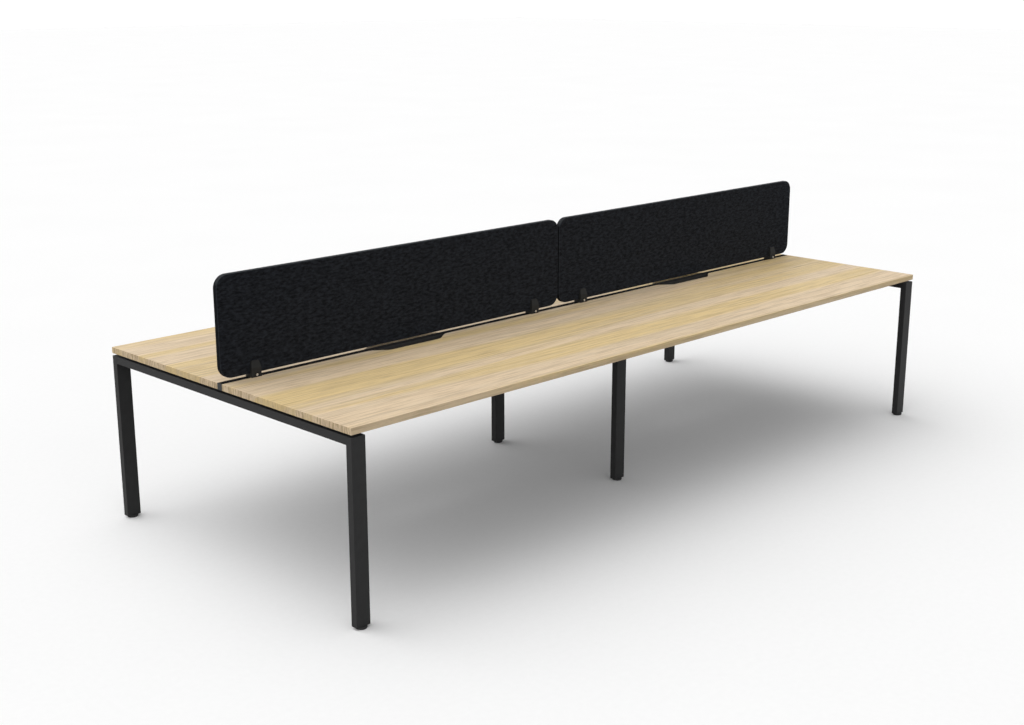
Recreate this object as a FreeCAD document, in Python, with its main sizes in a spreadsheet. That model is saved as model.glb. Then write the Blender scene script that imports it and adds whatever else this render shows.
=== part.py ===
import FreeCAD, Part
import os
import re
import Sketcher
from FreeCAD import Rotation, Vector

# A four-person bench workstation: two rows of two tops, back to back, on three portal frames.
# Millimetres, X along the length, Y from the front row to the rear row, Z up.
# The origin is on the floor below the middle of the workstation.

doc = FreeCAD.newDocument("Workstation")
sheet = doc.addObject("Spreadsheet::Sheet", "Sizes")

SIZES = {
    # Tops: oak-faced boards with a splayed cable scallop in the edge towards the spine
    "desk_length": 3600,
    "top_depth": 750,
    "top_thickness": 25,
    "surface_height": 730,
    "top_joint_gap": 0.4,
    "top_edge_round": 1,
    "spine_gap": 30,
    "scallop_floor": 270,
    "scallop_splay": 66,
    "scallop_depth": 49,
    "scallop_round": 45,
    # Portal frames: rectangular steel tube, the tops float above them
    "tube_width": 60,
    "tube_depth": 30,
    "tube_wall": 2,
    "tube_corner": 1.5,
    "float_gap": 10,
    "middle_inset": 370,
    # Levelling feet and the plugs that their stems screw into
    "foot_height": 9.5,
    "foot_radius": 22,
    "foot_tread_radius": 20,
    "foot_rim_height": 5,
    "stem_radius": 5,
    "stem_length": 32,
    "stem_socket": 6,
    "plug_height": 30,
    "plug_clearance": 0.1,
    "thread_clearance": 0.1,
    # Long beams between the frames, with end plates bolted to the frames
    "beam_width": 30,
    "beam_height": 40,
    "beam_wall": 2,
    "beam_corner": 3,
    "beam_leg_clearance": 15,
    "end_plate_width": 80,
    "end_plate_thickness": 4,
    "bolt_radius": 4,
    "bolt_length": 16,
    "bolt_head_radius": 7,
    "bolt_head_height": 5,
    "bolt_pitch": 54,
    "bolt_clearance": 0.25,
    # Spacers between the cross beams and the tops
    "spacer_radius": 12,
    "spacer_outer_inset": 125,
    "spacer_inner_inset": 110,
    "spacer_joint_offset": 15,
    # Spine rail that fills the gap between the rows, and the plates under it
    "rail_wall": 2,
    "rail_corner": 0.8,
    "rail_clearance": 0.25,
    "rail_cap_thickness": 3,
    "rail_cap_spigot": 12,
    "plate_length": 160,
    "plate_width": 60,
    "plate_thickness": 3,
    "plate_screw_inset": 15,
    # Felt screens
    "screen_end_gap": 0.5,
    "screen_joint_gap": 7,
    "screen_height": 388,
    "screen_thickness": 22,
    "screen_corner": 50,
    "screen_edge_round": 1.5,
    "screen_lift": 14.5,
    # Screen brackets: a base block between two jaws, clamp screws, one bolt down through the rail
    "bracket_width": 44,
    "bracket_outer_inset": 150,
    "bracket_inner_inset": 160,
    "front_jaw_thickness": 11.5,
    "rear_jaw_thickness": 7,
    "jaw_reach": 49,
    "jaw_lip": 4.5,
    "jaw_taper": 5.3,
    "jaw_slope_height": 27,
    "jaw_corner": 6,
    "jaw_edge_round": 1.5,
    "clamp_screw_radius": 2.5,
    "clamp_screw_drop": 4.5,
    "clamp_screw_web": 1.2,
    "clamp_head_radius": 5,
    "clamp_head_height": 4.5,
    "clamp_socket_radius": 2.3,
    "clamp_socket_depth": 2,
    "front_recess_depth": 1,
    "rear_recess_depth": 1,
    "clamp_recess_radius": 8.5,
    "rail_bolt_radius": 3,
    "rail_bolt_head_radius": 5,
    "rail_bolt_head_height": 6,
    "rail_bolt_end": 2,
    "counterbore_depth": 7,
    "nut_radius": 5.8,
    "nut_height": 5,
    # Wood screws that hold the tops to the long beams and to the plates
    "screw_radius": 2.25,
    "screw_length": 18,
    "screw_head_radius": 4.5,
    "screw_head_height": 2.5,
    "screw_clearance": 0.15,
    "access_radius": 6,
    # How far a cutting shape runs past what it cuts
    "cut_overrun": 5,
}

for line_number, (alias, number) in enumerate(SIZES.items(), start=1):
    sheet.set(f"A{line_number}", alias)
    sheet.set(f"B{line_number}", str(number))
    sheet.setAlias(f"B{line_number}", alias)
doc.recompute()

# Where the two columns and the two rows lie, as signs on X and Y
COLUMNS = {"left": -1, "right": 1}
ROWS = {"front": -1, "rear": 1}

# Places of the screws along a long beam, as shares of its length
BEAM_SCREW_SHARES = (0.12, 0.5, 0.88)

# Places that several pieces share
INNER_EDGE = "(spine_gap / 2)"
OUTER_EDGE = "(spine_gap / 2 + top_depth)"
UNDERSIDE = "(surface_height - top_thickness)"
FRAME_TOP = f"({UNDERSIDE} - float_gap)"
FRAME_MIDDLE = f"({FRAME_TOP} - tube_depth / 2)"
LEG_LENGTH = f"({FRAME_TOP} - foot_height)"
END_FRAME = "(desk_length / 2 - tube_width / 2)"
BAY_START = "(tube_width / 2)"
BAY_END = "(desk_length / 2 - tube_width)"
BAY_LENGTH = f"({BAY_END} - {BAY_START})"
BAY_MIDDLE = "(desk_length / 4)"
MIDDLE_REACH = f"({OUTER_EDGE} - middle_inset)"
BEAM_OFFSET = f"({MIDDLE_REACH} - tube_depth - beam_leg_clearance - end_plate_width / 2)"
RAIL_WIDTH = "(spine_gap - 2 * rail_clearance)"
SCREEN_LENGTH = "(desk_length / 2 - screen_end_gap - screen_joint_gap / 2)"
SCREEN_MIDDLE = f"(screen_joint_gap / 2 + {SCREEN_LENGTH} / 2)"
SCREEN_FOOT = "(surface_height + screen_lift)"
JAW_FACE = "(screen_thickness / 2)"
CLAMP_HEIGHT = f"({SCREEN_FOOT} - clamp_screw_drop)"
CLAMP_TIP = "(rail_bolt_head_radius + bolt_clearance + clamp_screw_web)"

FRAMES = {
    "left": (f"-1 * {END_FRAME}", OUTER_EDGE),
    "middle": ("0", MIDDLE_REACH),
    "right": (END_FRAME, OUTER_EDGE),
}
LEGS = {
    f"{frame}_{row}": (x, f"{ROWS[row]} * ({reach} - tube_depth / 2)")
    for frame, (x, reach) in FRAMES.items()
    for row in ROWS
}
BRACKETS = {
    f"{column}_{end}": f"{COLUMNS[column]} * {distance}"
    for column in COLUMNS
    for end, distance in (("outer", "(desk_length / 2 - bracket_outer_inset)"), ("inner", "bracket_inner_inset"))
}

# Turns that lay a piece built along Z along X or Y
TURNS = {"x": Rotation(Vector(0, 1, 0), 90), "y": Rotation(Vector(1, 0, 0), -90), "z": Rotation()}
STAND_UP = Rotation(Vector(1, 0, 0), 90)

# Turns that set a side profile, drawn outwards and upwards, against the front or the rear face of a screen
PROFILE_TURN = Rotation(Vector(1, 1, 1), 120)
JAW_TURNS = {"front": Rotation(Vector(0, 0, 1), 180) * PROFILE_TURN, "rear": PROFILE_TURN}

# Sketch point and axis numbers: a line starts at point 1 and ends at point 2, the axes count down from -1
START, END = range(1, 3)
X_AXIS, Y_AXIS = range(-1, -3, -1)

nodes = []


def formula(text):
    """Size names turned into references to the sheet."""
    return re.sub(r"[a-z][a-z_]*", lambda word: f"Sizes.{word.group()}", text)


def value(text):
    """The number that a formula gives now."""
    return float(sheet.evalExpression(formula(text)))


def bind(thing, **formulas):
    for name, text in formulas.items():
        thing.setExpression(name, formula(text))
    return thing


def place(thing, low, turn=Rotation()):
    """Puts a piece's own origin at a point given as three formulas."""
    thing.Placement = FreeCAD.Placement(Vector(), turn)
    for axis, text in zip("xyz", low):
        thing.setExpression(f"Placement.Base.{axis}", formula(text))
    return thing


def box(name, length, width, height, low):
    thing = doc.addObject("Part::Box", name)
    return place(bind(thing, Length=length, Width=width, Height=height), low)


def rod(name, axis, radius, length, low):
    thing = doc.addObject("Part::Cylinder", name)
    return place(bind(thing, Radius=radius, Height=length), low, TURNS[axis])


def hexagon(name, axis, radius, length, low):
    thing = doc.addObject("Part::Prism", name)
    return place(bind(thing, Circumradius=radius, Height=length), low, TURNS[axis])


def span(face, direction, near, far):
    """Low end and length of a stretch from near to far, counted from a face along a direction."""
    low = f"{face} + ({near})" if direction > 0 else f"{face} - ({far})"
    return low, f"({far}) - ({near})"


def joined(name, pieces):
    thing = doc.addObject("Part::MultiFuse", name)
    thing.Shapes = pieces
    return thing


def shared(name, pieces):
    """What all the pieces have in common."""
    thing = doc.addObject("Part::MultiCommon", name)
    thing.Shapes = pieces
    return thing


def group(name, pieces):
    thing = doc.addObject("Part::Compound", name)
    thing.Links = pieces
    return thing


def cut(name, base, tools):
    thing = doc.addObject("Part::Cut", name)
    thing.Base = base
    thing.Tool = group(f"{name}_tools", tools)
    return thing


def new_sketch(body, role):
    sketch = body.newObject("Sketcher::SketchObject", f"{body.Name}_sketch")
    plane = next(item for item in body.Origin.OriginFeatures if item.Role == role)
    sketch.AttachmentSupport = [(plane, "")]
    sketch.MapMode = "FlatFace"
    return sketch


def outline(sketch, points):
    """Closed straight outline through points given as pairs of formulas."""
    corners = [Vector(value(x), value(y), 0) for x, y in points]
    first = sketch.GeometryCount
    for here, there in zip(corners, corners[1:] + corners[:1]):
        sketch.addGeometry(Part.LineSegment(here, there), False)
    for step, pair in enumerate(points):
        edge = first + step
        following = first + (step + 1) % len(points)
        sketch.addConstraint(Sketcher.Constraint("Coincident", edge, END, following, START))
        for kind, text, zero_axis in zip(("DistanceX", "DistanceY"), pair, (Y_AXIS, X_AXIS)):
            if text == "0":
                sketch.addConstraint(Sketcher.Constraint("PointOnObject", edge, START, zero_axis))
                continue
            index = sketch.addConstraint(Sketcher.Constraint(kind, X_AXIS, START, edge, START, value(text)))
            sketch.setExpression(f"Constraints[{index}]", formula(text))
    return sketch


def rectangle(width, height):
    """Corners of a rectangle centred on the sketch's origin."""
    signs = ((-1, -1), (1, -1), (1, 1), (-1, 1))
    return [(f"{across} * ({width}) / 2", f"{up} * ({height}) / 2") for across, up in signs]


def pad(body, points, length):
    feature = body.newObject("PartDesign::Pad", f"{body.Name}_pad")
    feature.Profile = outline(new_sketch(body, "XY_Plane"), points)
    bind(feature, Length=length)
    doc.recompute()
    return feature


def hollow(body, points, depth):
    """Sinks an outline into the end of a piece that starts at Z = 0."""
    before = body.Shape.Volume
    feature = body.newObject("PartDesign::Pocket", f"{body.Name}_hollow")
    feature.Profile = outline(new_sketch(body, "XY_Plane"), points)
    feature.Reversed = True
    bind(feature, Length=depth)
    doc.recompute()
    if body.Shape.Volume >= before:
        raise RuntimeError(f"{body.Name}: the hollow removes nothing")
    return feature


def fillet(body, feature, places, radius):
    rounded = body.newObject("PartDesign::Fillet", f"{body.Name}_fillet")
    rounded.Base = (feature, places)
    bind(rounded, Radius=radius)
    doc.recompute()
    return rounded


def upright_edges(feature, wanted=lambda point: True):
    """Names of the straight edges along Z whose place is wanted."""
    names = []
    for number, edge in enumerate(feature.Shape.Edges, start=1):
        ends = [vertex.Point for vertex in edge.Vertexes]
        if len(ends) != 2:
            continue
        sideways = (ends[1] - ends[0]).cross(Vector(0, 0, 1)).Length
        if sideways < Part.Precision.confusion() and wanted(edge.CenterOfMass):
            names.append(f"Edge{number}")
    return names


def level_faces(feature):
    """Names of the flat faces square to Z."""
    names = []
    for number, face in enumerate(feature.Shape.Faces, start=1):
        flat = isinstance(face.Surface, Part.Plane)
        if flat and face.Surface.Axis.cross(Vector(0, 0, 1)).Length < Part.Precision.confusion():
            names.append(f"Face{number}")
    return names


def tube(name, across, along, wall, corner, length, depth, low, axis):
    """Rectangular tube built along Z, hollow to a depth, then laid along an axis."""
    body = doc.addObject("PartDesign::Body", name)
    outer = pad(body, rectangle(across, along), length)
    fillet(body, outer, upright_edges(outer), corner)
    hollow(body, rectangle(f"{across} - 2 * {wall}", f"{along} - 2 * {wall}"), depth)
    return place(body, low, TURNS[axis])


def screw_places():
    """Name, X, Y and seat height of every wood screw, with the row and column of the top it holds."""
    for row, row_sign in ROWS.items():
        for column, column_sign in COLUMNS.items():
            for step, share in enumerate(BEAM_SCREW_SHARES):
                x = f"{column_sign} * ({BAY_START} + {share} * {BAY_LENGTH})"
                y = f"{row_sign} * {BEAM_OFFSET}"
                yield row, column, f"beam_{step}", x, y, f"({UNDERSIDE} - beam_wall)"
            for bracket, bracket_x in BRACKETS.items():
                if not bracket.startswith(column):
                    continue
                for side in (-1, 1):
                    x = f"{bracket_x} + {side} * (plate_width / 2 - plate_screw_inset)"
                    y = f"{row_sign} * (plate_length / 2 - plate_screw_inset)"
                    yield row, column, f"{bracket}_{side + 1}", x, y, f"({UNDERSIDE} - plate_thickness)"


def desktop(row, column):
    """Board whose inner edge has a splayed scallop for cables, drilled for its screws from below."""
    column_sign, row_sign = COLUMNS[column], ROWS[row]
    mouth = "(scallop_floor / 2 + scallop_splay)"
    scallop = f"({INNER_EDGE} + scallop_depth)"
    corners = [
        ("top_joint_gap / 2", INNER_EDGE),
        (f"{BAY_MIDDLE} - {mouth}", INNER_EDGE),
        (f"{BAY_MIDDLE} - scallop_floor / 2", scallop),
        (f"{BAY_MIDDLE} + scallop_floor / 2", scallop),
        (f"{BAY_MIDDLE} + {mouth}", INNER_EDGE),
        ("desk_length / 2", INNER_EDGE),
        ("desk_length / 2", OUTER_EDGE),
        ("top_joint_gap / 2", OUTER_EDGE),
    ]
    name = f"desktop_{row}_{column}"
    body = doc.addObject("PartDesign::Body", f"{name}_board")
    points = [(f"{column_sign} * ({x})", f"{row_sign} * ({y})") for x, y in corners]
    board = pad(body, points, "top_thickness")
    reach = value(f"{mouth} + scallop_round")

    def near_scallop(point):
        return abs(abs(point.x) - value(BAY_MIDDLE)) < reach

    board = fillet(body, board, upright_edges(board, near_scallop), "scallop_round")
    fillet(body, board, level_faces(board), "top_edge_round")
    place(body, ("0", "0", UNDERSIDE))
    pilot_low = f"{UNDERSIDE} - cut_overrun"
    pilots = [
        rod(f"{name}_pilot_{place_name}", "z", "screw_radius + screw_clearance",
            f"{seat} + screw_length + screw_clearance - ({pilot_low})", (x, y, pilot_low))
        for of_row, of_column, place_name, x, y, seat in screw_places()
        if (of_row, of_column) == (row, column)
    ]
    return cut(name, body, pilots)


def wood_screws():
    screws = []
    for row, column, place_name, x, y, seat in screw_places():
        name = f"top_screw_{row}_{column}_{place_name}"
        shank = rod(f"{name}_shank", "z", "screw_radius", "screw_length", (x, y, seat))
        head_low = (x, y, f"{seat} - screw_head_height")
        head = rod(f"{name}_head", "z", "screw_head_radius", "screw_head_height", head_low)
        screws.append(joined(name, [shank, head]))
    return group("top_screws", screws)


def bolt_places():
    """Name, frame, face, direction and Y of each bolt through an end plate into a cross beam."""
    for column, column_sign in COLUMNS.items():
        for frame, face, direction in ((column, BAY_END, column_sign), ("middle", BAY_START, -column_sign)):
            for row, row_sign in ROWS.items():
                for side in (-1, 1):
                    y = f"{row_sign} * {BEAM_OFFSET} + {side} * bolt_pitch / 2"
                    name = f"{row}_{column}_{frame}_{side + 1}"
                    yield name, row, column, frame, f"{column_sign} * {face}", direction, y


def bolt_hole(name, face, direction, y):
    low, length = span(face, direction, "-1 * (end_plate_thickness + cut_overrun)", "tube_wall + cut_overrun")
    return rod(name, "x", "bolt_radius + bolt_clearance", length, (low, y, FRAME_MIDDLE))


def beam_bolts():
    bolts = []
    for name, row, column, frame, face, direction, y in bolt_places():
        shank_low, shank_length = span(
            face, direction, "-1 * end_plate_thickness", "bolt_length - end_plate_thickness")
        head_low, head_length = span(
            face, direction, "-1 * (end_plate_thickness + bolt_head_height)", "-1 * end_plate_thickness")
        shank = rod(f"bolt_{name}_shank", "x", "bolt_radius", shank_length, (shank_low, y, FRAME_MIDDLE))
        head = hexagon(f"bolt_{name}_head", "x", "bolt_head_radius", head_length, (head_low, y, FRAME_MIDDLE))
        bolts.append(joined(f"bolt_{name}", [shank, head]))
    return group("beam_bolts", bolts)


def cross_beam(frame):
    """Tube between the two legs of a frame, drilled where the long beams are bolted on."""
    x, reach = FRAMES[frame]
    length = f"2 * ({reach} - tube_depth)"
    low = (x, f"-1 * ({reach} - tube_depth)", FRAME_MIDDLE)
    name = f"cross_beam_{frame}"
    beam = tube(f"{name}_tube", "tube_width", "tube_depth", "tube_wall", "tube_corner", length, length, low, "y")
    holes = [
        bolt_hole(f"{name}_hole_{bolt}", face, direction, y)
        for bolt, row, column, of_frame, face, direction, y in bolt_places()
        if of_frame == frame
    ]
    return cut(name, beam, holes)


def leg(leg_name):
    """Upright tube, closed at the top, open at the bottom for its plug."""
    x, y = LEGS[leg_name]
    hollow_depth = f"{LEG_LENGTH} - tube_wall"
    return tube(f"leg_{leg_name}", "tube_width", "tube_depth", "tube_wall", "tube_corner", LEG_LENGTH,
                hollow_depth, (x, y, "foot_height"), "z")


def leg_plugs():
    """Inserts in the leg ends, each with the threaded bore of a foot's stem."""
    plugs = []
    for leg_name, (x, y) in LEGS.items():
        across = "(tube_width - 2 * tube_wall - 2 * plug_clearance)"
        along = "(tube_depth - 2 * tube_wall - 2 * plug_clearance)"
        low = (f"{x} - {across} / 2", f"{y} - {along} / 2", "foot_height")
        block = box(f"plug_{leg_name}_block", across, along, "plug_height", low)
        bore = rod(f"plug_{leg_name}_bore", "z", "stem_radius + thread_clearance", "plug_height + 2 * cut_overrun",
                   (x, y, "foot_height - cut_overrun"))
        plugs.append(cut(f"plug_{leg_name}", block, [bore]))
    return group("leg_plugs", plugs)


def foot_pad(leg_name):
    """Turned disc that tapers to its tread, with a socket for the stem."""
    socket_radius = "stem_radius + thread_clearance"
    profile = [
        ("0", "0"),
        ("foot_tread_radius", "0"),
        ("foot_radius", "foot_height - foot_rim_height"),
        ("foot_radius", "foot_height"),
        (socket_radius, "foot_height"),
        (socket_radius, "foot_height - stem_socket"),
        ("0", "foot_height - stem_socket"),
    ]
    body = doc.addObject("PartDesign::Body", f"foot_pad_{leg_name}")
    sketch = outline(new_sketch(body, "XZ_Plane"), profile)
    turned = body.newObject("PartDesign::Revolution", f"{body.Name}_turned")
    turned.Profile = sketch
    turned.ReferenceAxis = (sketch, ["V_Axis"])
    x, y = LEGS[leg_name]
    return place(body, (x, y, "0"))


def foot_stem(leg_name):
    x, y = LEGS[leg_name]
    return rod(f"foot_stem_{leg_name}", "z", "stem_radius", "stem_socket + stem_length",
               (x, y, "foot_height - stem_socket"))


def long_beam(row, column):
    """Tube under a top with an end plate at each frame, drilled for bolts and wood screws."""
    name = f"long_beam_{row}_{column}"
    column_sign, row_sign = COLUMNS[column], ROWS[row]
    y = f"{row_sign} * {BEAM_OFFSET}"
    inner = f"{BAY_START} + end_plate_thickness"
    outer = f"{BAY_END} - end_plate_thickness"
    length = f"{BAY_LENGTH} - 2 * end_plate_thickness"
    low = inner if column_sign > 0 else f"-1 * ({outer})"
    middle = f"{UNDERSIDE} - beam_height / 2"
    beam = tube(f"{name}_tube", "beam_height", "beam_width", "beam_wall", "beam_corner", length, length,
                (low, y, middle), "x")
    pieces = [beam]
    for end, near in (("inner", BAY_START), ("outer", outer)):
        plate_low = near if column_sign > 0 else f"-1 * ({near} + end_plate_thickness)"
        low_corner = (plate_low, f"{y} - end_plate_width / 2", f"{FRAME_TOP} - tube_depth")
        plate = box(f"{name}_plate_{end}", "end_plate_thickness", "end_plate_width", "tube_depth", low_corner)
        pieces.append(plate)
    holes = [
        bolt_hole(f"{name}_hole_{bolt}", face, direction, bolt_y)
        for bolt, of_row, of_column, frame, face, direction, bolt_y in bolt_places()
        if (of_row, of_column) == (row, column)
    ]
    for of_row, of_column, place_name, x, screw_y, seat in screw_places():
        if (of_row, of_column) != (row, column) or not place_name.startswith("beam"):
            continue
        holes.append(rod(f"{name}_through_{place_name}", "z", "screw_radius + screw_clearance",
                         "beam_wall + 2 * cut_overrun", (x, screw_y, f"{seat} - cut_overrun")))
        holes.append(rod(f"{name}_access_{place_name}", "z", "access_radius", "beam_wall + 2 * cut_overrun",
                         (x, screw_y, f"{UNDERSIDE} - beam_height - cut_overrun")))
    return cut(name, joined(f"{name}_welded", pieces), holes)


def top_spacers():
    """Discs that carry the tops clear of the cross beams."""
    spacers = []
    inner = f"({INNER_EDGE} + spacer_inner_inset)"
    outer = f"({OUTER_EDGE} - spacer_outer_inset)"
    spots = ((END_FRAME, inner), (END_FRAME, outer), ("spacer_joint_offset", inner))
    for column, column_sign in COLUMNS.items():
        for row, row_sign in ROWS.items():
            for step, (x, y) in enumerate(spots):
                low = (f"{column_sign} * {x}", f"{row_sign} * {y}", FRAME_TOP)
                spacers.append(rod(f"spacer_{row}_{column}_{step}", "z", "spacer_radius", "float_gap", low))
    return group("top_spacers", spacers)


def bracket_hole(name, radius, bracket, low, high):
    """Upright drilling below a bracket, from one height to another."""
    return rod(name, "z", radius, f"({high}) - ({low})", (BRACKETS[bracket], "0", low))


def spine_rail(column):
    """Tube that fills the gap between the rows of tops, flush with them."""
    name = f"spine_rail_{column}"
    length = "(desk_length / 2 - top_joint_gap / 2 - rail_cap_thickness)"
    low = "top_joint_gap / 2" if COLUMNS[column] > 0 else f"-1 * (top_joint_gap / 2 + {length})"
    middle = "surface_height - top_thickness / 2"
    rail = tube(f"{name}_tube", "top_thickness", RAIL_WIDTH, "rail_wall", "rail_corner", length, length,
                (low, "0", middle), "x")
    holes = [
        bracket_hole(f"{name}_hole_{bracket}", "rail_bolt_radius + bolt_clearance", bracket,
                     f"{UNDERSIDE} - cut_overrun", "surface_height + cut_overrun")
        for bracket in BRACKETS
        if bracket.startswith(column)
    ]
    return cut(name, rail, holes)


def rail_cap(column):
    """Plate that closes the rail's end, flush with the ends of the tops, with a spigot in the rail."""
    name = f"rail_cap_{column}"
    column_sign = COLUMNS[column]
    width = f"({RAIL_WIDTH} - 2 * rail_wall - 2 * plug_clearance)"
    height = "(top_thickness - 2 * rail_wall - 2 * plug_clearance)"
    end = f"{column_sign} * desk_length / 2"
    plate_low, plate_length = span(end, column_sign, "-1 * rail_cap_thickness", "0")
    spigot_low, spigot_length = span(
        end, column_sign, "-1 * (rail_cap_thickness + rail_cap_spigot)", "-1 * rail_cap_thickness")
    plate = box(f"{name}_plate", plate_length, RAIL_WIDTH, "top_thickness",
                (plate_low, f"-1 * {RAIL_WIDTH} / 2", UNDERSIDE))
    spigot = box(f"{name}_spigot", spigot_length, width, height,
                 (spigot_low, f"-1 * {width} / 2", f"{UNDERSIDE} + rail_wall + plug_clearance"))
    return joined(name, [plate, spigot])


def joining_plate(bracket):
    """Steel strip under the rail that ties the front and rear tops together."""
    name = f"joining_plate_{bracket}"
    x = BRACKETS[bracket]
    bottom = f"({UNDERSIDE} - plate_thickness)"
    strip = box(f"{name}_strip", "plate_width", "plate_length", "plate_thickness",
                (f"{x} - plate_width / 2", "-1 * plate_length / 2", bottom))
    holes = [bracket_hole(f"{name}_hole", "rail_bolt_radius + bolt_clearance", bracket,
                          f"{bottom} - cut_overrun", f"{UNDERSIDE} + cut_overrun")]
    for row, column, place_name, screw_x, screw_y, seat in screw_places():
        if place_name.startswith(bracket):
            holes.append(rod(f"{name}_{row}_{place_name}", "z", "screw_radius + screw_clearance",
                             "plate_thickness + 2 * cut_overrun", (screw_x, screw_y, f"{seat} - cut_overrun")))
    return cut(name, strip, holes)


def screen(column):
    """Pressed felt panel with round corners, standing on its two brackets above the rail."""
    body = doc.addObject("PartDesign::Body", f"screen_{column}")
    panel = pad(body, rectangle(SCREEN_LENGTH, "screen_height"), "screen_thickness")
    panel = fillet(body, panel, upright_edges(panel), "screen_corner")
    fillet(body, panel, level_faces(panel), "screen_edge_round")
    middle = (f"{COLUMNS[column]} * {SCREEN_MIDDLE}", "screen_thickness / 2", f"{SCREEN_FOOT} + screen_height / 2")
    return place(body, middle, STAND_UP)


def bracket_base(bracket):
    """Block that the screen stands on, with a counterbored bolt hole and a tapped hole for each clamp screw."""
    name = f"bracket_base_{bracket}"
    x = BRACKETS[bracket]
    block = box(f"{name}_block", "bracket_width", "screen_thickness", "screen_lift",
                (f"{x} - bracket_width / 2", "-1 * screen_thickness / 2", "surface_height"))
    through = bracket_hole(f"{name}_hole", "rail_bolt_radius + bolt_clearance", bracket,
                           "surface_height - cut_overrun", f"{SCREEN_FOOT} + cut_overrun")
    counterbore = bracket_hole(f"{name}_counterbore", "rail_bolt_head_radius + bolt_clearance", bracket,
                               f"{SCREEN_FOOT} - counterbore_depth", f"{SCREEN_FOOT} + cut_overrun")
    tools = [joined(f"{name}_drilled", [through, counterbore])]
    for row, row_sign in ROWS.items():
        low, length = span("0", row_sign, CLAMP_TIP, f"{JAW_FACE} + cut_overrun")
        tools.append(rod(f"{name}_tapped_{row}", "y", "clamp_screw_radius + thread_clearance", length,
                         (x, low, CLAMP_HEIGHT)))
    return cut(name, block, tools)


def bracket_jaw(bracket, row):
    """Tab on one face of the screen, drawn in towards its top, with a recess for its clamp screw."""
    name = f"bracket_jaw_{bracket}_{row}"
    row_sign = ROWS[row]
    x = BRACKETS[bracket]
    thickness = f"{row}_jaw_thickness"
    height = "(screen_lift + jaw_reach)"
    shoulder = f"({height} - jaw_slope_height)"
    half = "(bracket_width / 2)"
    crown = f"({half} - jaw_taper)"

    def above_waist(point):
        return point.y > value(f"{shoulder} / 2")

    def at_lip(point):
        return point.x > value("jaw_lip / 2") and point.y > value(f"({shoulder} + {height}) / 2")

    side = doc.addObject("PartDesign::Body", f"{name}_side")
    slab = pad(side, [("0", "0"), (thickness, "0"), (thickness, shoulder), ("jaw_lip", height), ("0", height)],
               "bracket_width")
    fillet(side, slab, upright_edges(slab, at_lip), "jaw_edge_round")
    place(side, (f"{x} + {-row_sign} * {half}", f"{row_sign} * {JAW_FACE}", "surface_height"), JAW_TURNS[row])
    face = doc.addObject("PartDesign::Body", f"{name}_face")
    plate = pad(face, [(f"-1 * {half}", "0"), (half, "0"), (half, shoulder), (crown, height),
                       (f"-1 * {crown}", height), (f"-1 * {half}", shoulder)], thickness)
    fillet(face, plate, upright_edges(plate, above_waist), "jaw_corner")
    back = f"{JAW_FACE} + {thickness}" if row_sign > 0 else f"-1 * {JAW_FACE}"
    place(face, (x, back, "surface_height"), STAND_UP)
    tab = shared(f"{name}_tab", [side, face])
    outside = f"{JAW_FACE} + {thickness}"
    hole_low, hole_length = span("0", row_sign, f"{JAW_FACE} - cut_overrun", f"{outside} + cut_overrun")
    recess_low, recess_length = span(
        "0", row_sign, f"{outside} - {row}_recess_depth", f"{outside} + cut_overrun")
    hole = rod(f"{name}_hole", "y", "clamp_screw_radius + bolt_clearance", hole_length,
               (x, hole_low, CLAMP_HEIGHT))
    recess = rod(f"{name}_recess", "y", "clamp_recess_radius", recess_length, (x, recess_low, CLAMP_HEIGHT))
    return cut(name, tab, [joined(f"{name}_drilled", [hole, recess])])


def clamp_screws():
    """Socket-headed screws that pull the jaws onto the bases, their heads in the jaws' recesses."""
    screws = []
    for bracket, x in BRACKETS.items():
        for row, row_sign in ROWS.items():
            name = f"clamp_screw_{bracket}_{row}"
            seat = f"({JAW_FACE} + {row}_jaw_thickness - {row}_recess_depth)"
            shank_low, shank_length = span("0", row_sign, f"{CLAMP_TIP} + thread_clearance", seat)
            head_low, head_length = span("0", row_sign, seat, f"{seat} + clamp_head_height")
            socket_low, socket_length = span(
                "0", row_sign, f"{seat} + clamp_head_height - clamp_socket_depth",
                f"{seat} + clamp_head_height + cut_overrun")
            shank = rod(f"{name}_shank", "y", "clamp_screw_radius", shank_length, (x, shank_low, CLAMP_HEIGHT))
            head = rod(f"{name}_head", "y", "clamp_head_radius", head_length, (x, head_low, CLAMP_HEIGHT))
            socket = hexagon(f"{name}_socket", "y", "clamp_socket_radius", socket_length,
                             (x, socket_low, CLAMP_HEIGHT))
            screws.append(cut(name, joined(f"{name}_blank", [shank, head]), [socket]))
    return group("clamp_screws", screws)


def rail_bolts():
    """Bolts from the bases down through the rail and the joining plates."""
    bolts = []
    for bracket in BRACKETS:
        seat = f"({SCREEN_FOOT} - counterbore_depth)"
        tip = f"({UNDERSIDE} - plate_thickness - nut_height - rail_bolt_end)"
        shank = bracket_hole(f"rail_bolt_{bracket}_shank", "rail_bolt_radius", bracket, tip, seat)
        head = bracket_hole(f"rail_bolt_{bracket}_head", "rail_bolt_head_radius", bracket, seat,
                            f"{seat} + rail_bolt_head_height")
        bolts.append(joined(f"rail_bolt_{bracket}", [shank, head]))
    return group("rail_bolts", bolts)


def rail_nuts():
    nuts = []
    for bracket, x in BRACKETS.items():
        low = f"({UNDERSIDE} - plate_thickness - nut_height)"
        blank = hexagon(f"rail_nut_{bracket}_blank", "z", "nut_radius", "nut_height", (x, "0", low))
        bore = bracket_hole(f"rail_nut_{bracket}_bore", "rail_bolt_radius + thread_clearance", bracket,
                            f"{low} - cut_overrun", f"{low} + nut_height + cut_overrun")
        nuts.append(cut(f"rail_nut_{bracket}", blank, [bore]))
    return group("rail_nuts", nuts)


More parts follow.
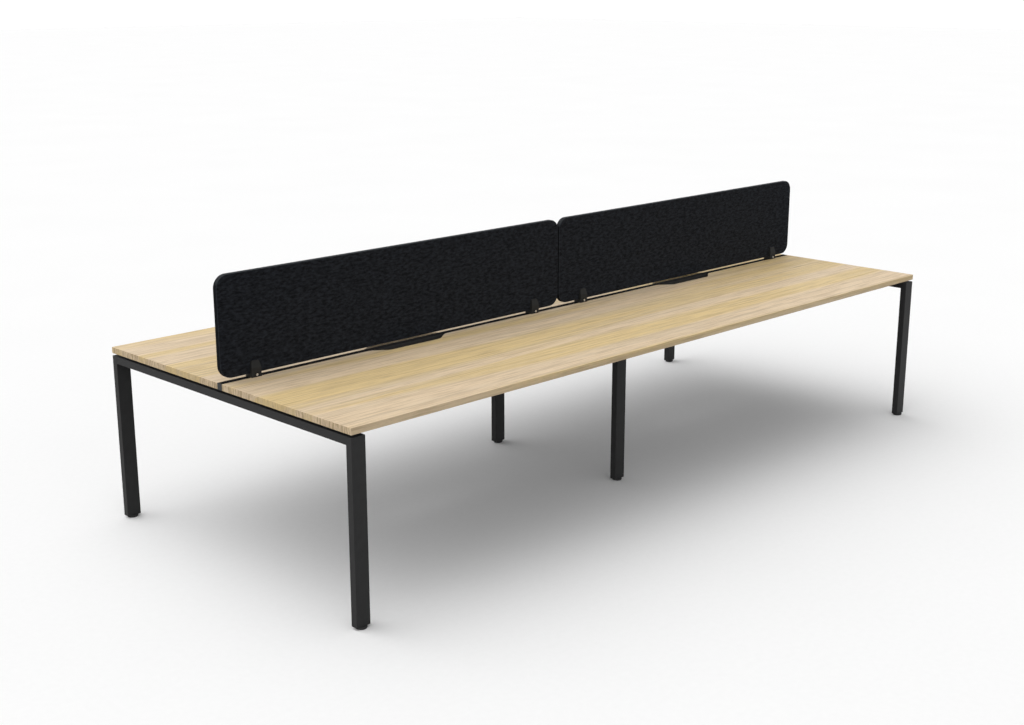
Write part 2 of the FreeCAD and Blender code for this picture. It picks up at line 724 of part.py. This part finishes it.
for row_name in ROWS:
    for column_name in COLUMNS:
        nodes.append(desktop(row_name, column_name))
        nodes.append(long_beam(row_name, column_name))
for frame_name in FRAMES:
    nodes.append(cross_beam(frame_name))
for leg_key in LEGS:
    nodes.append(leg(leg_key))
    nodes.append(foot_pad(leg_key))
    nodes.append(foot_stem(leg_key))
for column_name in COLUMNS:
    nodes.append(spine_rail(column_name))
    nodes.append(rail_cap(column_name))
    nodes.append(screen(column_name))
for bracket_name in BRACKETS:
    nodes.append(joining_plate(bracket_name))
    nodes.append(bracket_base(bracket_name))
    for row_name in ROWS:
        nodes.append(bracket_jaw(bracket_name, row_name))
nodes += [leg_plugs(), top_spacers(), wood_screws(), beam_bolts(), clamp_screws(), rail_bolts(), rail_nuts()]

doc.recompute()
for item in doc.Objects:
    if "Invalid" in item.State or "Error" in item.State:
        raise RuntimeError(f"{item.Label} failed to build: {item.State}")
for node in nodes:
    if node.Shape.isNull() or not node.Shape.isValid():
        raise RuntimeError(f"{node.Label} has no valid shape")

os.makedirs("parts", exist_ok=True)
for node in nodes:
    node.Shape.exportStep(f"parts/{node.Label}.step")
    print(node.Label, len(node.Shape.Solids), round(node.Shape.Volume))
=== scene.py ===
import math

import bmesh
import bpy
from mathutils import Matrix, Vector


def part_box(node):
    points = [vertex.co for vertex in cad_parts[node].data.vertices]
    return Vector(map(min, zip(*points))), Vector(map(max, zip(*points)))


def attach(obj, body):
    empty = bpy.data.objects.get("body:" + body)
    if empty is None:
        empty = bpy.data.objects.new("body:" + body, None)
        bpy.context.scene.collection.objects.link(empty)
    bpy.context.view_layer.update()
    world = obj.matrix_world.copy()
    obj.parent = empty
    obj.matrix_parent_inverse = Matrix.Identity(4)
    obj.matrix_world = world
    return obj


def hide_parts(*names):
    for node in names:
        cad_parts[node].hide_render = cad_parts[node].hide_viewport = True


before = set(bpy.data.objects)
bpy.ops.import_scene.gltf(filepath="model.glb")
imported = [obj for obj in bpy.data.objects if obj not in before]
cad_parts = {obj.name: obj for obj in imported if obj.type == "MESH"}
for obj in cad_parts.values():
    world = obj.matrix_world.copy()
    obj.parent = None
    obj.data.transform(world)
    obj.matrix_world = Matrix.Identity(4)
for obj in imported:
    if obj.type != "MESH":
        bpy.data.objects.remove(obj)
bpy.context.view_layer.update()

scene = bpy.context.scene


# Levelling feet: moulded black discs that turn on zinc-plated steel stems, which screw into plastic plugs
# pressed into the ends of the legs. The moulding has a fine spark-eroded grain.
def put(tree, kind, sockets=None, **settings):
    """A shader node with its settings made, and its sockets set to a value or linked to another socket."""
    node = tree.nodes.new(kind)
    for name, setting in settings.items():
        setattr(node, name, setting)
    for name, source in (sockets or {}).items():
        if isinstance(source, bpy.types.NodeSocket):
            tree.links.new(source, node.inputs[name])
        else:
            node.inputs[name].default_value = source
    return node


def reckon(tree, operation, first, second=0.0):
    """The result of a sum on one or two values."""
    return put(tree, "ShaderNodeMath", {0: first, 1: second}, operation=operation).outputs[0]


def rescale(tree, source, low, high, to_low=0.0, to_high=1.0):
    """A value taken from one range to another and held inside it."""
    sockets = {"Value": source, "From Min": low, "From Max": high, "To Min": to_low, "To Max": to_high}
    return put(tree, "ShaderNodeMapRange", sockets).outputs["Result"]


def blend_colours(tree, share, first, second):
    """The first colour with a share of the second in it."""
    sockets = {0: share, 6: first, 7: second}
    return put(tree, "ShaderNodeMix", sockets, data_type="RGBA").outputs[2]


def new_group(name, inputs, outputs):
    """An empty shader group with named sockets, and its two end nodes."""
    tree = bpy.data.node_groups.new(name, "ShaderNodeTree")
    for socket, kind in inputs.items():
        tree.interface.new_socket(socket, in_out="INPUT", socket_type=kind)
    for socket in outputs:
        tree.interface.new_socket(socket, in_out="OUTPUT", socket_type="NodeSocketFloat")
    return tree, tree.nodes.new("NodeGroupInput"), tree.nodes.new("NodeGroupOutput")


def new_material(name):
    """A material with a bare shader, and the tree, shader and object coordinates to work on."""
    material = bpy.data.materials.new(name)
    material.use_nodes = True
    tree = material.node_tree
    tree.nodes.clear()
    shader = put(tree, "ShaderNodeBsdfPrincipled")
    put(tree, "ShaderNodeOutputMaterial", {"Surface": shader.outputs["BSDF"]})
    return material, tree, shader, put(tree, "ShaderNodeTexCoord").outputs["Object"]


def dress(material, *starts):
    """Gives the material to every CAD node whose name has one of these starts."""
    for name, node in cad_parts.items():
        if name.startswith(starts):
            for slot in node.material_slots:
                slot.material = material


CLOUD_FINENESS = 0.02
CLOUD_SHARE = 0.4
MOTTLE_LOW, MOTTLE_HIGH = 0.35, 0.65

grain_group, grain_in, grain_out = new_group(
    "surface_grain", {"Place": "NodeSocketVector", "Fineness": "NodeSocketFloat"}, ("Mottle", "Height"))
fine_grain = put(grain_group, "ShaderNodeTexNoise", {
    "Vector": grain_in.outputs["Place"], "Scale": grain_in.outputs["Fineness"],
    "Detail": 3.0, "Roughness": 0.6})
clouds = put(grain_group, "ShaderNodeTexNoise", {
    "Vector": grain_in.outputs["Place"],
    "Scale": reckon(grain_group, "MULTIPLY", grain_in.outputs["Fineness"], CLOUD_FINENESS), "Detail": 2.0})
mottle = reckon(
    grain_group, "ADD",
    reckon(grain_group, "MULTIPLY", fine_grain.outputs["Fac"], 1 - CLOUD_SHARE),
    reckon(grain_group, "MULTIPLY", clouds.outputs["Fac"], CLOUD_SHARE))
grain_group.links.new(rescale(grain_group, mottle, MOTTLE_LOW, MOTTLE_HIGH), grain_out.inputs["Mottle"])
grain_group.links.new(fine_grain.outputs["Fac"], grain_out.inputs["Height"])


def place_grain(tree, place, fineness):
    """The surface grain in a material, at its own fineness."""
    grain = put(tree, "ShaderNodeGroup", node_tree=grain_group)
    tree.links.new(place, grain.inputs["Place"])
    grain.inputs["Fineness"].default_value = fineness
    return grain


def raise_relief(tree, shader, height, depth, strength, invert=False):
    """Bumps the shader's normal by a height."""
    sockets = {"Height": height, "Distance": depth, "Strength": strength}
    bump = put(tree, "ShaderNodeBump", sockets, invert=invert)
    tree.links.new(bump.outputs["Normal"], shader.inputs["Normal"])


def grained_finish(name, dark, light, rough, fineness, relief, metallic=0.0, specular=0.5):
    """A moulded or coated finish: two close colours and a roughness that follow the grain, with its relief."""
    material, tree, shader, place = new_material(name)
    grain = place_grain(tree, place, fineness)
    mask = grain.outputs["Mottle"]
    tree.links.new(blend_colours(tree, mask, (*dark, 1), (*light, 1)), shader.inputs["Base Color"])
    tree.links.new(rescale(tree, mask, 0.0, 1.0, *rough), shader.inputs["Roughness"])
    raise_relief(tree, shader, grain.outputs["Height"], relief, strength=0.6)
    shader.inputs["Metallic"].default_value = metallic
    shader.inputs["Specular IOR Level"].default_value = specular
    return material


moulded_black = grained_finish(
    "moulded_black", dark=(0.008, 0.008, 0.008), light=(0.018, 0.018, 0.018),
    rough=(0.5, 0.68), fineness=2600.0, relief=0.0002)
zinc_plate = grained_finish(
    "zinc_plate", dark=(0.42, 0.43, 0.45), light=(0.62, 0.63, 0.66),
    rough=(0.28, 0.5), fineness=900.0, relief=0.0001, metallic=1.0)
dress(moulded_black, "foot_pad_", "leg_plugs", "rail_cap_", "top_spacers")
dress(zinc_plate, "foot_stem_", "top_screws", "beam_bolts", "rail_bolts", "rail_nuts")


# Portal frames: rectangular steel tube, legs and cross beams welded and dressed flush, with the long beams
# and their end plates bolted between them. All are powder coated in one fine matt black.
frame_black = grained_finish(
    "black_powder_coat", dark=(0.028, 0.028, 0.028), light=(0.038, 0.038, 0.0385),
    rough=(0.44, 0.58), fineness=1500.0, relief=0.00025, specular=0.12)
dress(frame_black, "leg_left", "leg_middle", "leg_right", "cross_beam_", "long_beam_", "joining_plate_")


# Tops: 25 mm board with a pale oak decor, its grain along the length and running on from board to board.
# The band on the front edge follows the grain, and every upright face is painted a darker, yellower shade. On
# the ends the figure turns into short upright strokes, and a plain grey balancing sheet covers the underside.
OAK_CREAM = (0.815, 0.645, 0.445, 1)
OAK_HONEY = (0.795, 0.605, 0.305, 1)
OAK_GREY = (0.61, 0.515, 0.39, 1)
OAK_LINE = (0.41, 0.295, 0.17, 1)
OAK_BAND = (0.84, 0.68, 0.48, 1)
OAK_UPRIGHT_SHADE = (0.42, 0.295, 0.10, 1)
UNDERSIDE_GREY = (0.2, 0.2, 0.2, 1)
EDGE_BAND = 0.002
UPRIGHT_SHADE_SHARE = 0.22
END_FINENESS = 3.1
END_SHORTNESS = 12.0
# How deep each mark of the figure is drawn on the tops, and on the ends
GREY_DEPTH = 0.32
LINE_DEPTH, LINE_DEPTH_ON_END = 0.3, 1.0
FINE_DEPTH, FINE_DEPTH_ON_END = 0.42, 0.35
PORE_DEPTH = 0.28
HONEY_CALM = 0.4
OAK_ROUGH = (0.46, 0.6)
# A face looks a way from the first share of its normal, and fully from the second
FACE_FROM, FACE_FULL = 0.6, 0.8

figure_group, figure_in, figure_out = new_group(
    "oak_figure", {"Band Place": "NodeSocketVector", "Line Place": "NodeSocketVector"},
    ("Honey", "Grey", "Line", "Fine", "Pore"))


def streaks(place, stretch, low, high, detail, shift):
    """Noise drawn out along the grain by a stretch, then cut to a mask."""
    mapping = put(figure_group, "ShaderNodeMapping", {"Vector": place, "Location": shift, "Scale": stretch})
    noise = put(figure_group, "ShaderNodeTexNoise", {
        "Vector": mapping.outputs["Vector"], "Scale": 1.0, "Detail": detail, "Roughness": 0.55,
        "Distortion": 0.25})
    return rescale(figure_group, noise.outputs["Fac"], low, high)


for mask_name, source, stretch, low, high, detail, shift in (
        ("Honey", "Band Place", (0.26, 5.6, 5.6), 0.46, 0.54, 2.0, (12.2, 5.3, 0.0)),
        ("Grey", "Band Place", (0.8, 17.0, 17.0), 0.48, 0.66, 3.0, (11.3, 5.2, 2.0)),
        ("Line", "Line Place", (1.6, 74.0, 74.0), 0.48, 0.60, 3.0, (0.7, 9.1, 4.0)),
        ("Fine", "Line Place", (6.0, 130.0, 130.0), 0.50, 0.63, 2.0, (8.2, 4.4, 1.0)),
        ("Pore", "Line Place", (34.0, 520.0, 520.0), 0.56, 0.70, 2.0, (5.0, 2.3, 7.0))):
    figure_group.links.new(
        streaks(figure_in.outputs[source], stretch, low, high, detail, shift), figure_out.inputs[mask_name])

oak, oak_tree, oak_shader, oak_place = new_material("pale_oak_decor")
sides = put(oak_tree, "ShaderNodeSeparateXYZ", {"Vector": oak_place})
turned = put(oak_tree, "ShaderNodeCombineXYZ", {
    "X": reckon(oak_tree, "MULTIPLY", sides.outputs["Z"], END_SHORTNESS),
    "Y": reckon(oak_tree, "MULTIPLY", sides.outputs["Y"], END_FINENESS),
    "Z": sides.outputs["X"]})
facing = put(oak_tree, "ShaderNodeSeparateXYZ", {
    "Vector": put(oak_tree, "ShaderNodeNewGeometry").outputs["True Normal"]})
on_end = rescale(oak_tree, reckon(oak_tree, "ABSOLUTE", facing.outputs["X"]), FACE_FROM, FACE_FULL)
line_place = put(oak_tree, "ShaderNodeMix", {0: on_end, 4: oak_place, 5: turned.outputs["Vector"]},
                 data_type="VECTOR").outputs[1]
figure = put(oak_tree, "ShaderNodeGroup", node_tree=figure_group)
oak_tree.links.new(oak_place, figure.inputs["Band Place"])
oak_tree.links.new(line_place, figure.inputs["Line Place"])


def mark(ground, mask_name, depth, colour):
    """The ground colour with one mask of the figure drawn on it."""
    share = reckon(oak_tree, "MULTIPLY", figure.outputs[mask_name], depth)
    return blend_colours(oak_tree, share, ground, colour)


board = blend_colours(oak_tree, figure.outputs["Honey"], OAK_CREAM, OAK_HONEY)
board = mark(board, "Grey", GREY_DEPTH, OAK_GREY)
flatness = reckon(oak_tree, "ABSOLUTE", facing.outputs["Z"])
# Painted shade: upright faces of the tops are blended towards a darker, yellower oak
upright_shade = rescale(oak_tree, flatness, FACE_FULL, FACE_FROM, 0.0, UPRIGHT_SHADE_SHARE)
board = blend_colours(oak_tree, upright_shade, board, OAK_UPRIGHT_SHADE)
honey_end = reckon(oak_tree, "MULTIPLY", figure.outputs["Honey"], on_end)
calm = rescale(oak_tree, honey_end, 0.0, 1.0, 1.0, HONEY_CALM)
line_depth = rescale(oak_tree, on_end, 0.0, 1.0, LINE_DEPTH, LINE_DEPTH_ON_END)
board = mark(board, "Line", reckon(oak_tree, "MULTIPLY", line_depth, calm), OAK_LINE)
board = mark(board, "Fine", rescale(oak_tree, on_end, 0.0, 1.0, FINE_DEPTH, FINE_DEPTH_ON_END), OAK_LINE)
board = mark(board, "Pore", PORE_DEPTH, OAK_LINE)
from_spine = reckon(oak_tree, "ABSOLUTE", sides.outputs["Y"])
band_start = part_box("desktop_rear_left")[1].y - EDGE_BAND
band_end = reckon(oak_tree, "GREATER_THAN", from_spine, band_start)
board = blend_colours(oak_tree, reckon(oak_tree, "MULTIPLY", band_end, on_end), board, OAK_BAND)
underneath = rescale(oak_tree, facing.outputs["Z"], -FACE_FROM, -FACE_FULL)
board = blend_colours(oak_tree, underneath, board, UNDERSIDE_GREY)
oak_tree.links.new(board, oak_shader.inputs["Base Color"])
oak_tree.links.new(
    rescale(oak_tree, figure.outputs["Line"], 0.0, 1.0, *OAK_ROUGH), oak_shader.inputs["Roughness"])
oak_relief = reckon(oak_tree, "ADD", figure.outputs["Pore"], figure.outputs["Line"])
raise_relief(oak_tree, oak_shader, oak_relief, depth=0.0001, strength=0.5, invert=True)
oak_shader.inputs["Specular IOR Level"].default_value = 0.35
dress(oak, "desktop_")


# Spine rail: flat steel tube in the gap between the rows, flush with the tops and bolted down through its
# joining plates. It is satin black, and its flat top is painted near black as painted shade from the screens
# above.
RAIL_SIDE = (0.044, 0.044, 0.043, 1)
RAIL_TOP_SHADE = (0.0035, 0.0035, 0.0035, 1)
RAIL_BLACK = (0, 0, 0, 1)
RAIL_FINENESS = 1700.0
RAIL_SHADE = (0.75, 1.2)
RAIL_ROUGH = (0.6, 0.75)

rail, rail_tree, rail_shader, rail_place = new_material("rail_satin_black")
rail_grain = place_grain(rail_tree, rail_place, RAIL_FINENESS)
rail_mottle = rail_grain.outputs["Mottle"]
rail_facing = put(rail_tree, "ShaderNodeSeparateXYZ", {
    "Vector": put(rail_tree, "ShaderNodeNewGeometry").outputs["True Normal"]})
# Painted shade: the rail's up-facing top is drawn near black, standing in for the shade under the screens
rail_top_shade = rescale(rail_tree, rail_facing.outputs["Z"], FACE_FROM, FACE_FULL)
rail_colour = blend_colours(rail_tree, rail_top_shade, RAIL_SIDE, RAIL_TOP_SHADE)
rail_shade = rescale(rail_tree, rail_mottle, 0.0, 1.0, *RAIL_SHADE)
rail_tree.links.new(
    blend_colours(rail_tree, rail_shade, RAIL_BLACK, rail_colour), rail_shader.inputs["Base Color"])
rail_tree.links.new(rescale(rail_tree, rail_mottle, 0.0, 1.0, *RAIL_ROUGH), rail_shader.inputs["Roughness"])
raise_relief(rail_tree, rail_shader, rail_grain.outputs["Height"], depth=0.0002, strength=0.6)
rail_shader.inputs["Specular IOR Level"].default_value = 0.03
dress(rail, "spine_rail_")


# Screen brackets: a base block with a jaw on each face of the screen, cast and painted in a soft satin black,
# pulled together by bright socket-headed clamp screws.
bracket_black = grained_finish(
    "bracket_black", dark=(0.0168, 0.0176, 0.0178), light=(0.024, 0.0252, 0.0254),
    rough=(0.45, 0.6), fineness=1900.0, relief=0.0002, specular=0.14)
bright_screw = grained_finish(
    "bright_screw", dark=(0.66, 0.66, 0.65), light=(0.86, 0.86, 0.85),
    rough=(0.18, 0.34), fineness=1400.0, relief=0.00008, metallic=1.0)
dress(bracket_black, "bracket_")
dress(bright_screw, "clamp_screws")


# Screens: panels of pressed polyester felt, charcoal and black fibres carded together, cut with round
# corners and with softly rounded edges. Each stands on two brackets, gripped between their jaws.
SCREEN_CORNER = 0.05
SCREEN_EDGE = 0.0025
CORNER_STEPS = 18
EDGE_STEPS = 5
FELT_DARK = (0.0034, 0.0040, 0.0056, 1)
FELT_LIGHT = (0.0196, 0.0225, 0.029, 1)
FELT_FIBRE = (0.041, 0.047, 0.056, 1)
FELT_TOP_LIT = (0.040, 0.043, 0.047, 1)
FELT_CARDING = (0.55, 1.0, 1.4)
FELT_FINENESS = 78.0
FELT_PATCHES = (0.36, 0.64)
FELT_ROUGH = (0.95, 0.82)
# How each layer of fibres is turned, and how fine it is
FIBRE_LAYERS = ((0.6, 190.0), (-0.9, 230.0), (1.9, 160.0))
FIBRE_LENGTH = 7
FIBRE_CUT = (0.54, 0.74)
FIBRE_SHARE = 0.35
# Where on the rounding each part of the edge starts and is full, as a share of the normal: painted shade
# darkens the cut edge, a painted highlight lightens the arris, and painted light lightens the top edge
CUT_SHADE_TURN = (0.35, 0.05)
CUT_SHADE_DEPTH = 0.7
ARRIS_HIGHLIGHT_INNER_TURN = (0.97, 0.85)
ARRIS_HIGHLIGHT_OUTER_TURN = (0.3, 0.6)
ARRIS_HIGHLIGHT_DEPTH = 0.8
TOP_LIGHT_TURN = (0.2, 0.55)
TOP_LIGHT_DEPTH = 0.85

felt, felt_tree, felt_shader, felt_place = new_material("charcoal_felt")
carded = put(felt_tree, "ShaderNodeMapping", {"Vector": felt_place, "Scale": FELT_CARDING})
felt_grain = place_grain(felt_tree, carded.outputs["Vector"], FELT_FINENESS)
fibre_masks = []
for turn, fineness in FIBRE_LAYERS:
    lay = put(felt_tree, "ShaderNodeMapping", {
        "Vector": felt_place, "Rotation": (0.0, turn, 0.0),
        "Scale": (fineness, fineness, fineness * FIBRE_LENGTH)})
    strands = put(felt_tree, "ShaderNodeTexNoise", {
        "Vector": lay.outputs["Vector"], "Scale": 1.0, "Detail": 2.0, "Distortion": 1.2})
    fibre_masks.append(rescale(felt_tree, strands.outputs["Fac"], *FIBRE_CUT))
fibres = reckon(felt_tree, "MAXIMUM", reckon(felt_tree, "MAXIMUM", *fibre_masks[:2]), fibre_masks[2])
felt_patches = rescale(felt_tree, felt_grain.outputs["Height"], *FELT_PATCHES)
felt_colour = blend_colours(felt_tree, felt_patches, FELT_DARK, FELT_LIGHT)
fibre_share = reckon(felt_tree, "MULTIPLY", fibres, FIBRE_SHARE)
felt_colour = blend_colours(felt_tree, fibre_share, felt_colour, FELT_FIBRE)
felt_facing = put(felt_tree, "ShaderNodeSeparateXYZ", {
    "Vector": put(felt_tree, "ShaderNodeNewGeometry").outputs["Normal"]})
felt_flat = reckon(felt_tree, "ABSOLUTE", felt_facing.outputs["Y"])
# Painted shade: the cut edges are darkened towards the darkest felt
felt_cut_shade = rescale(felt_tree, felt_flat, *CUT_SHADE_TURN, 0.0, CUT_SHADE_DEPTH)
felt_colour = blend_colours(felt_tree, felt_cut_shade, felt_colour, FELT_DARK)
# Painted highlight: the rounded arris is lightened towards the fibre colour
felt_arris_highlight = reckon(
    felt_tree, "MULTIPLY",
    rescale(felt_tree, felt_flat, *ARRIS_HIGHLIGHT_OUTER_TURN), rescale(felt_tree, felt_flat, *ARRIS_HIGHLIGHT_INNER_TURN))
arris_highlight_share = reckon(felt_tree, "MULTIPLY", felt_arris_highlight, ARRIS_HIGHLIGHT_DEPTH)
felt_colour = blend_colours(felt_tree, arris_highlight_share, felt_colour, FELT_FIBRE)
# Painted light: the up-facing edge of the felt is lightened, as if lit from above
felt_top_light = rescale(felt_tree, felt_facing.outputs["Z"], *TOP_LIGHT_TURN, 0.0, TOP_LIGHT_DEPTH)
felt_colour = blend_colours(felt_tree, felt_top_light, felt_colour, FELT_TOP_LIT)
felt_tree.links.new(felt_colour, felt_shader.inputs["Base Color"])
felt_tree.links.new(rescale(felt_tree, fibres, 0.0, 1.0, *FELT_ROUGH), felt_shader.inputs["Roughness"])
felt_relief = reckon(felt_tree, "ADD", fibres, felt_grain.outputs["Height"])
raise_relief(felt_tree, felt_shader, felt_relief, depth=0.0006, strength=0.7)
felt_shader.inputs["Specular IOR Level"].default_value = 0.04
felt_shader.inputs["Sheen Weight"].default_value = 0.025
felt_shader.inputs["Sheen Roughness"].default_value = 0.5


def rounded_outline(low, high, inset):
    """Points of a rectangle in X and Z with round corners, drawn in by an inset."""
    radius = SCREEN_CORNER - inset
    centres = ((high.x, high.z, 0), (low.x, high.z, 1), (low.x, low.z, 2), (high.x, low.z, 3))
    points = []
    for corner_x, corner_z, quarter in centres:
        centre_x = corner_x - math.copysign(SCREEN_CORNER, corner_x - (low.x + high.x) / 2)
        centre_z = corner_z - math.copysign(SCREEN_CORNER, corner_z - (low.z + high.z) / 2)
        for step in range(CORNER_STEPS + 1):
            angle = math.pi / 2 * (quarter + step / CORNER_STEPS)
            points.append((centre_x + radius * math.cos(angle), centre_z + radius * math.sin(angle)))
    return points


def felt_panel(node):
    """A closed panel: rings of points from the front face, round the soft edge, to the rear face."""
    low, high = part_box(node)
    turns = [math.pi / 2 * step / EDGE_STEPS for step in range(EDGE_STEPS + 1)]
    profile = [(SCREEN_EDGE * (1 - math.sin(t)), low.y + SCREEN_EDGE * (1 - math.cos(t))) for t in turns]
    profile += [(inset, low.y + high.y - y) for inset, y in reversed(profile)]
    mesh = bpy.data.meshes.new(f"felt_{node}")
    shell = bmesh.new()
    rings = [[shell.verts.new((x, y, z)) for x, z in rounded_outline(low, high, inset)] for inset, y in profile]
    for ring, following in zip(rings, rings[1:]):
        for index in range(len(ring)):
            after = (index + 1) % len(ring)
            shell.faces.new((ring[index], ring[after], following[after], following[index])).smooth = True
    shell.faces.new(rings[0])
    shell.faces.new(rings[-1][::-1])
    bmesh.ops.recalc_face_normals(shell, faces=shell.faces)
    shell.to_mesh(mesh)
    shell.free()
    mesh.materials.append(felt)
    panel = bpy.data.objects.new(f"felt_{node}", mesh)
    scene.collection.objects.link(panel)
    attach(panel, "desk")
    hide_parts(node)


for screen_node in ("screen_left", "screen_right"):
    felt_panel(screen_node)


# Studio: a plain white floor that gives back little light, a soft white sky that is brightest overhead and low
# in front, one weak wide lamp, and the camera at the left front corner.
FLOOR_REACH = 60.0
FLOOR_BOUNCE = (0.2, 0.2, 0.2, 1)
FLOOR_DULL = (0.92, 0.92, 0.92, 1)
FLOOR_CLEAN = (0.94, 0.94, 0.94, 1)
FLOOR_FINENESS = 40.0

floor_mesh = bpy.data.meshes.new("studio_floor")
floor_mesh.from_pydata([(-FLOOR_REACH, -FLOOR_REACH, 0), (FLOOR_REACH, -FLOOR_REACH, 0),
                        (FLOOR_REACH, FLOOR_REACH, 0), (-FLOOR_REACH, FLOOR_REACH, 0)], [], [(0, 1, 2, 3)])
floor_finish, floor_tree, floor_shader, floor_place = new_material("pale_floor")
floor_grain = place_grain(floor_tree, floor_place, FLOOR_FINENESS)
floor_white = blend_colours(floor_tree, floor_grain.outputs["Mottle"], FLOOR_DULL, FLOOR_CLEAN)
floor_path = put(floor_tree, "ShaderNodeLightPath")
floor_seen = reckon(
    floor_tree, "MAXIMUM", floor_path.outputs["Is Camera Ray"], floor_path.outputs["Is Glossy Ray"])
floor_tree.links.new(
    blend_colours(floor_tree, floor_seen, FLOOR_BOUNCE, floor_white), floor_shader.inputs["Base Color"])
floor_shader.inputs["Roughness"].default_value = 0.9
floor_shader.inputs["Specular IOR Level"].default_value = 0.0
floor_mesh.materials.append(floor_finish)
floor = bpy.data.objects.new("studio_floor", floor_mesh)
scene.collection.objects.link(floor)

SKY_LEVEL = 0.924
SKY_LOW_LEAN = (0.173, -0.551, 0.0)
SKY_HIGH_LEAN = (-1.471, 1.508, 0.0)
SKY_MIDDLE_DIP = -0.625
SKY_OVERHEAD = 1.593
SKY_DARKEST = 0.12
BACKDROP_WHITE = (1.05, 1.05, 1.05, 1)

world = bpy.data.worlds.new("studio_sky")
world.use_nodes = True
sky_tree = world.node_tree
sky_way = put(sky_tree, "ShaderNodeTexCoord").outputs["Generated"]
sky_height = put(sky_tree, "ShaderNodeSeparateXYZ", {"Vector": sky_way}).outputs["Z"]


def sky_lean(lean):
    """How far the sky brightens towards one side."""
    along = put(sky_tree, "ShaderNodeVectorMath", {0: sky_way, 1: lean}, operation="DOT_PRODUCT")
    return along.outputs["Value"]


sky_terms = (
    sky_lean(SKY_LOW_LEAN),
    reckon(sky_tree, "MULTIPLY", sky_height, sky_lean(SKY_HIGH_LEAN)),
    reckon(sky_tree, "MULTIPLY", reckon(sky_tree, "POWER", sky_height, 2.0), SKY_MIDDLE_DIP),
    reckon(sky_tree, "MULTIPLY", reckon(sky_tree, "POWER", sky_height, 6.0), SKY_OVERHEAD))
sky_light = SKY_LEVEL
for term in sky_terms:
    sky_light = reckon(sky_tree, "ADD", term, sky_light)
sky_light = reckon(sky_tree, "MAXIMUM", sky_light, SKY_DARKEST)
sky_seen = put(sky_tree, "ShaderNodeLightPath").outputs["Is Camera Ray"]
sky_tree.links.new(blend_colours(sky_tree, sky_seen, sky_light, BACKDROP_WHITE),
                   sky_tree.nodes["Background"].inputs["Color"])
scene.world = world

LAMP_STRENGTH = 0.2
LAMP_SPREAD = 60
LAMP_WAY = (0.3, -0.4, -0.9)

key = bpy.data.lights.new("soft_key", "SUN")
key.energy = LAMP_STRENGTH
key.angle = math.radians(LAMP_SPREAD)
key_object = bpy.data.objects.new("soft_key", key)
key_object.rotation_euler = Vector(LAMP_WAY).to_track_quat("-Z", "Y").to_euler()
scene.collection.objects.link(key_object)

CAMERA_PLACE = (-4.586, -4.3016, 2.153)
CAMERA_TILT = 75
CAMERA_TURN = -45

camera = bpy.data.cameras.new("camera")
camera.lens = 50.0
camera.sensor_width = 36.0
camera_object = bpy.data.objects.new("camera", camera)
camera_object.location = CAMERA_PLACE
camera_object.rotation_euler = (math.radians(CAMERA_TILT), 0.0, math.radians(CAMERA_TURN))
scene.collection.objects.link(camera_object)
scene.camera = camera_object
scene.view_settings.view_transform = "Standard"
